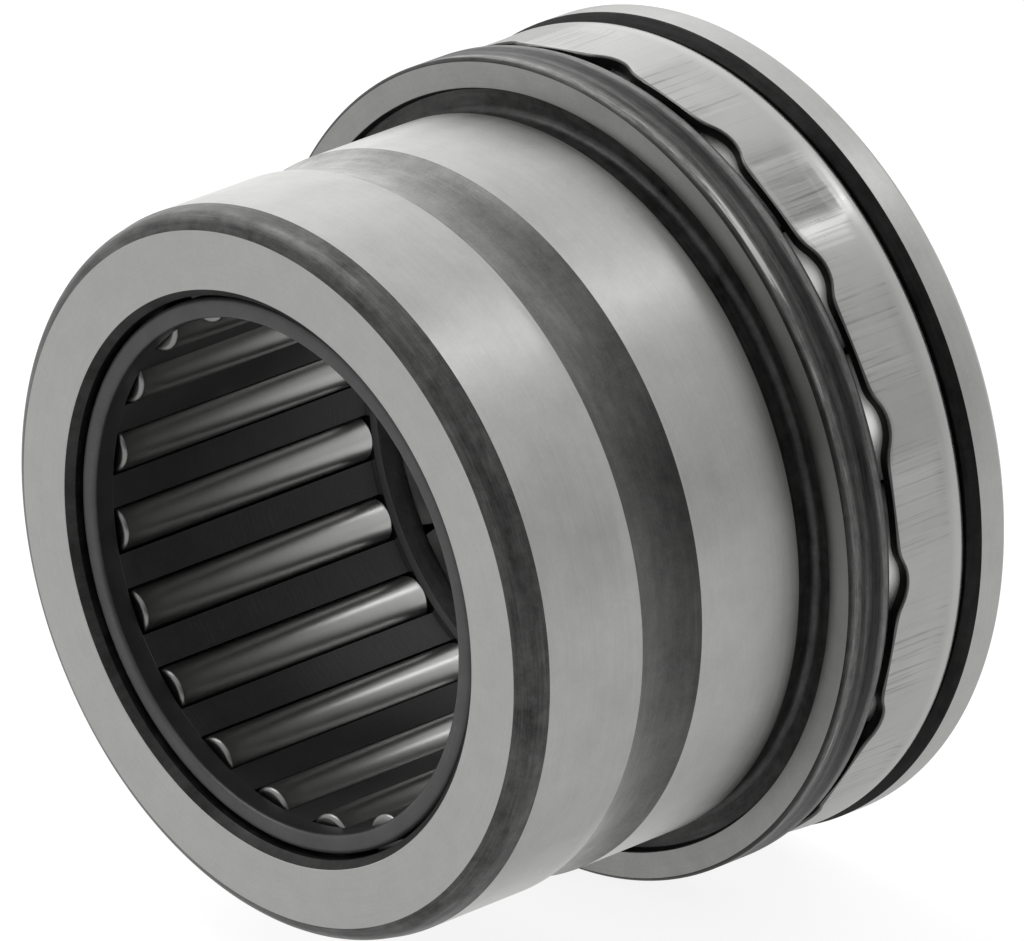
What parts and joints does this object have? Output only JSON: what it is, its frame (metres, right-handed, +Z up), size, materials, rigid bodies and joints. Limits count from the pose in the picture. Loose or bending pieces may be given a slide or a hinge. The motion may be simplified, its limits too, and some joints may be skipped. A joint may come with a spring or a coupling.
{
  "type": "combined needle roller and thrust ball bearing",
  "caption": "Flanged radial needle roller bearing with a thrust ball bearing on its flange and a loose shaft washer; carries radial load and one-way axial load.",
  "frame": {"origin": "centre of the bearing: on its axis, at half the overall width", "axes": "+Y along the bearing axis from the needle end to the shaft washer, +Z up"},
  "size_m": [0.042, 0.03, 0.042],
  "materials": {
    "ring_steel": "ground bearing steel, bevels, groove and rim left dark from hardening",
    "needle_cage_steel": "black satin heat-treated steel",
    "roller_steel": "lapped bearing steel",
    "sheet_steel": "drawn sheet steel with fine axial draw marks",
    "ball_steel": "polished bearing steel",
    "washer_steel": "ground bearing steel"
  },
  "bodies": {
    "outer_ring": {"outer_ring": "ring_steel"},
    "needle_cage": {"needle_cage": "needle_cage_steel"},
    "needle_01": {"needle_01": "roller_steel"},
    "needle_02": {"needle_02": "roller_steel"},
    "needle_03": {"needle_03": "roller_steel"},
    "needle_04": {"needle_04": "roller_steel"},
    "needle_05": {"needle_05": "roller_steel"},
    "needle_06": {"needle_06": "roller_steel"},
    "needle_07": {"needle_07": "roller_steel"},
    "needle_08": {"needle_08": "roller_steel"},
    "needle_09": {"needle_09": "roller_steel"},
    "needle_10": {"needle_10": "roller_steel"},
    "needle_11": {"needle_11": "roller_steel"},
    "needle_12": {"needle_12": "roller_steel"},
    "needle_13": {"needle_13": "roller_steel"},
    "needle_14": {"needle_14": "roller_steel"},
    "needle_15": {"needle_15": "roller_steel"},
    "needle_16": {"needle_16": "roller_steel"},
    "needle_17": {"needle_17": "roller_steel"},
    "needle_18": {"needle_18": "roller_steel"},
    "needle_19": {"needle_19": "roller_steel"},
    "needle_20": {"needle_20": "roller_steel"},
    "shaft_washer": {"shaft_washer": "washer_steel"},
    "thrust_cage": {"thrust_cage": "sheet_steel"},
    "ball_01": {"ball_01": "ball_steel"},
    "ball_02": {"ball_02": "ball_steel"},
    "ball_03": {"ball_03": "ball_steel"},
    "ball_04": {"ball_04": "ball_steel"},
    "ball_05": {"ball_05": "ball_steel"},
    "ball_06": {"ball_06": "ball_steel"},
    "ball_07": {"ball_07": "ball_steel"},
    "ball_08": {"ball_08": "ball_steel"},
    "ball_09": {"ball_09": "ball_steel"},
    "ball_10": {"ball_10": "ball_steel"},
    "ball_11": {"ball_11": "ball_steel"},
    "ball_12": {"ball_12": "ball_steel"},
    "ball_13": {"ball_13": "ball_steel"},
    "ball_14": {"ball_14": "ball_steel"},
    "ball_15": {"ball_15": "ball_steel"},
    "ball_16": {"ball_16": "ball_steel"}
  },
  "joints": [
    {"name": "needle_cage_orbit", "type": "hinge", "parent": "outer_ring", "child": "needle_cage", "pos_m": [0, 0, 0], "axis": [0, 1, 0], "continuous": true},
    {"name": "needle_01_spin", "type": "hinge", "parent": "needle_cage", "child": "needle_01", "pos_m": [-0.00985, -0.0047, 0.00961], "axis": [0, 1, 0], "continuous": true},
    {"name": "needle_02_spin", "type": "hinge", "parent": "needle_cage", "child": "needle_02", "pos_m": [-0.01234, -0.0047, 0.0061], "axis": [0, 1, 0], "continuous": true},
    {"name": "needle_03_spin", "type": "hinge", "parent": "needle_cage", "child": "needle_03", "pos_m": [-0.01362, -0.0047, 0.00199], "axis": [0, 1, 0], "continuous": true},
    {"name": "needle_04_spin", "type": "hinge", "parent": "needle_cage", "child": "needle_04", "pos_m": [-0.01357, -0.0047, -0.00232], "axis": [0, 1, 0], "continuous": true},
    {"name": "needle_05_spin", "type": "hinge", "parent": "needle_cage", "child": "needle_05", "pos_m": [-0.01219, -0.0047, -0.0064], "axis": [0, 1, 0], "continuous": true},
    {"name": "needle_06_spin", "type": "hinge", "parent": "needle_cage", "child": "needle_06", "pos_m": [-0.00961, -0.0047, -0.00985], "axis": [0, 1, 0], "continuous": true},
    {"name": "needle_07_spin", "type": "hinge", "parent": "needle_cage", "child": "needle_07", "pos_m": [-0.0061, -0.0047, -0.01234], "axis": [0, 1, 0], "continuous": true},
    {"name": "needle_08_spin", "type": "hinge", "parent": "needle_cage", "child": "needle_08", "pos_m": [-0.00199, -0.0047, -0.01362], "axis": [0, 1, 0], "continuous": true},
    {"name": "needle_09_spin", "type": "hinge", "parent": "needle_cage", "child": "needle_09", "pos_m": [0.00232, -0.0047, -0.01357], "axis": [0, 1, 0], "continuous": true},
    {"name": "needle_10_spin", "type": "hinge", "parent": "needle_cage", "child": "needle_10", "pos_m": [0.0064, -0.0047, -0.01219], "axis": [0, 1, 0], "continuous": true},
    {"name": "needle_11_spin", "type": "hinge", "parent": "needle_cage", "child": "needle_11", "pos_m": [0.00985, -0.0047, -0.00961], "axis": [0, 1, 0], "continuous": true},
    {"name": "needle_12_spin", "type": "hinge", "parent": "needle_cage", "child": "needle_12", "pos_m": [0.01234, -0.0047, -0.0061], "axis": [0, 1, 0], "continuous": true},
    {"name": "needle_13_spin", "type": "hinge", "parent": "needle_cage", "child": "needle_13", "pos_m": [0.01362, -0.0047, -0.00199], "axis": [0, 1, 0], "continuous": true},
    {"name": "needle_14_spin", "type": "hinge", "parent": "needle_cage", "child": "needle_14", "pos_m": [0.01357, -0.0047, 0.00232], "axis": [0, 1, 0], "continuous": true},
    {"name": "needle_15_spin", "type": "hinge", "parent": "needle_cage", "child": "needle_15", "pos_m": [0.01219, -0.0047, 0.0064], "axis": [0, 1, 0], "continuous": true},
    {"name": "needle_16_spin", "type": "hinge", "parent": "needle_cage", "child": "needle_16", "pos_m": [0.00961, -0.0047, 0.00985], "axis": [0, 1, 0], "continuous": true},
    {"name": "needle_17_spin", "type": "hinge", "parent": "needle_cage", "child": "needle_17", "pos_m": [0.0061, -0.0047, 0.01234], "axis": [0, 1, 0], "continuous": true},
    {"name": "needle_18_spin", "type": "hinge", "parent": "needle_cage", "child": "needle_18", "pos_m": [0.00199, -0.0047, 0.01362], "axis": [0, 1, 0], "continuous": true},
    {"name": "needle_19_spin", "type": "hinge", "parent": "needle_cage", "child": "needle_19", "pos_m": [-0.00232, -0.0047, 0.01357], "axis": [0, 1, 0], "continuous": true},
    {"name": "needle_20_spin", "type": "hinge", "parent": "needle_cage", "child": "needle_20", "pos_m": [-0.0064, -0.0047, 0.01219], "axis": [0, 1, 0], "continuous": true},
    {"name": "shaft_washer_spin", "type": "hinge", "parent": "outer_ring", "child": "shaft_washer", "pos_m": [0, 0.0135, 0], "axis": [0, 1, 0], "continuous": true},
    {"name": "thrust_cage_orbit", "type": "hinge", "parent": "outer_ring", "child": "thrust_cage", "pos_m": [0, 0.0096, 0], "axis": [0, 1, 0], "continuous": true},
    {"name": "ball_01_spin", "type": "hinge", "parent": "thrust_cage", "child": "ball_01", "pos_m": [0.01558, 0.0096, 0.00614], "axis": [0.9304, 0, 0.3665], "continuous": true},
    {"name": "ball_02_spin", "type": "hinge", "parent": "thrust_cage", "child": "ball_02", "pos_m": [0.01205, 0.0096, 0.01164], "axis": [0.7193, 0, 0.6947], "continuous": true},
    {"name": "ball_03_spin", "type": "hinge", "parent": "thrust_cage", "child": "ball_03", "pos_m": [0.00668, 0.0096, 0.01536], "axis": [0.3987, 0, 0.9171], "continuous": true},
    {"name": "ball_04_spin", "type": "hinge", "parent": "thrust_cage", "child": "ball_04", "pos_m": [0.00029, 0.0096, 0.01675], "axis": [0.0175, 0, 0.9998], "continuous": true},
    {"name": "ball_05_spin", "type": "hinge", "parent": "thrust_cage", "child": "ball_05", "pos_m": [-0.00614, 0.0096, 0.01558], "axis": [-0.3665, 0, 0.9304], "continuous": true},
    {"name": "ball_06_spin", "type": "hinge", "parent": "thrust_cage", "child": "ball_06", "pos_m": [-0.01164, 0.0096, 0.01205], "axis": [-0.6947, 0, 0.7193], "continuous": true},
    {"name": "ball_07_spin", "type": "hinge", "parent": "thrust_cage", "child": "ball_07", "pos_m": [-0.01536, 0.0096, 0.00668], "axis": [-0.9171, 0, 0.3987], "continuous": true},
    {"name": "ball_08_spin", "type": "hinge", "parent": "thrust_cage", "child": "ball_08", "pos_m": [-0.01675, 0.0096, 0.00029], "axis": [-0.9998, 0, 0.0175], "continuous": true},
    {"name": "ball_09_spin", "type": "hinge", "parent": "thrust_cage", "child": "ball_09", "pos_m": [-0.01558, 0.0096, -0.00614], "axis": [-0.9304, 0, -0.3665], "continuous": true},
    {"name": "ball_10_spin", "type": "hinge", "parent": "thrust_cage", "child": "ball_10", "pos_m": [-0.01205, 0.0096, -0.01164], "axis": [-0.7193, 0, -0.6947], "continuous": true},
    {"name": "ball_11_spin", "type": "hinge", "parent": "thrust_cage", "child": "ball_11", "pos_m": [-0.00668, 0.0096, -0.01536], "axis": [-0.3987, 0, -0.9171], "continuous": true},
    {"name": "ball_12_spin", "type": "hinge", "parent": "thrust_cage", "child": "ball_12", "pos_m": [-0.00029, 0.0096, -0.01675], "axis": [-0.0175, 0, -0.9998], "continuous": true},
    {"name": "ball_13_spin", "type": "hinge", "parent": "thrust_cage", "child": "ball_13", "pos_m": [0.00614, 0.0096, -0.01558], "axis": [0.3665, 0, -0.9304], "continuous": true},
    {"name": "ball_14_spin", "type": "hinge", "parent": "thrust_cage", "child": "ball_14", "pos_m": [0.01164, 0.0096, -0.01205], "axis": [0.6947, 0, -0.7193], "continuous": true},
    {"name": "ball_15_spin", "type": "hinge", "parent": "thrust_cage", "child": "ball_15", "pos_m": [0.01536, 0.0096, -0.00668], "axis": [0.9171, 0, -0.3987], "continuous": true},
    {"name": "ball_16_spin", "type": "hinge", "parent": "thrust_cage", "child": "ball_16", "pos_m": [0.01675, 0.0096, -0.00029], "axis": [0.9998, 0, -0.0175], "continuous": true}
  ],
  "couplings": [
    {"joint": "needle_01_spin", "follows": "needle_cage_orbit", "ratio": -12},
    {"joint": "needle_02_spin", "follows": "needle_cage_orbit", "ratio": -12},
    {"joint": "needle_03_spin", "follows": "needle_cage_orbit", "ratio": -12},
    {"joint": "needle_04_spin", "follows": "needle_cage_orbit", "ratio": -12},
    {"joint": "needle_05_spin", "follows": "needle_cage_orbit", "ratio": -12},
    {"joint": "needle_06_spin", "follows": "needle_cage_orbit", "ratio": -12},
    {"joint": "needle_07_spin", "follows": "needle_cage_orbit", "ratio": -12},
    {"joint": "needle_08_spin", "follows": "needle_cage_orbit", "ratio": -12},
    {"joint": "needle_09_spin", "follows": "needle_cage_orbit", "ratio": -12},
    {"joint": "needle_10_spin", "follows": "needle_cage_orbit", "ratio": -12},
    {"joint": "needle_11_spin", "follows": "needle_cage_orbit", "ratio": -12},
    {"joint": "needle_12_spin", "follows": "needle_cage_orbit", "ratio": -12},
    {"joint": "needle_13_spin", "follows": "needle_cage_orbit", "ratio": -12},
    {"joint": "needle_14_spin", "follows": "needle_cage_orbit", "ratio": -12},
    {"joint": "needle_15_spin", "follows": "needle_cage_orbit", "ratio": -12},
    {"joint": "needle_16_spin", "follows": "needle_cage_orbit", "ratio": -12},
    {"joint": "needle_17_spin", "follows": "needle_cage_orbit", "ratio": -12},
    {"joint": "needle_18_spin", "follows": "needle_cage_orbit", "ratio": -12},
    {"joint": "needle_19_spin", "follows": "needle_cage_orbit", "ratio": -12},
    {"joint": "needle_20_spin", "follows": "needle_cage_orbit", "ratio": -12},
    {"joint": "thrust_cage_orbit", "follows": "shaft_washer_spin", "ratio": 0.5},
    {"joint": "ball_01_spin", "follows": "shaft_washer_spin", "ratio": -2.6378},
    {"joint": "ball_02_spin", "follows": "shaft_washer_spin", "ratio": -2.6378},
    {"joint": "ball_03_spin", "follows": "shaft_washer_spin", "ratio": -2.6378},
    {"joint": "ball_04_spin", "follows": "shaft_washer_spin", "ratio": -2.6378},
    {"joint": "ball_05_spin", "follows": "shaft_washer_spin", "ratio": -2.6378},
    {"joint": "ball_06_spin", "follows": "shaft_washer_spin", "ratio": -2.6378},
    {"joint": "ball_07_spin", "follows": "shaft_washer_spin", "ratio": -2.6378},
    {"joint": "ball_08_spin", "follows": "shaft_washer_spin", "ratio": -2.6378},
    {"joint": "ball_09_spin", "follows": "shaft_washer_spin", "ratio": -2.6378},
    {"joint": "ball_10_spin", "follows": "shaft_washer_spin", "ratio": -2.6378},
    {"joint": "ball_11_spin", "follows": "shaft_washer_spin", "ratio": -2.6378},
    {"joint": "ball_12_spin", "follows": "shaft_washer_spin", "ratio": -2.6378},
    {"joint": "ball_13_spin", "follows": "shaft_washer_spin", "ratio": -2.6378},
    {"joint": "ball_14_spin", "follows": "shaft_washer_spin", "ratio": -2.6378},
    {"joint": "ball_15_spin", "follows": "shaft_washer_spin", "ratio": -2.6378},
    {"joint": "ball_16_spin", "follows": "shaft_washer_spin", "ratio": -2.6378}
  ]
}
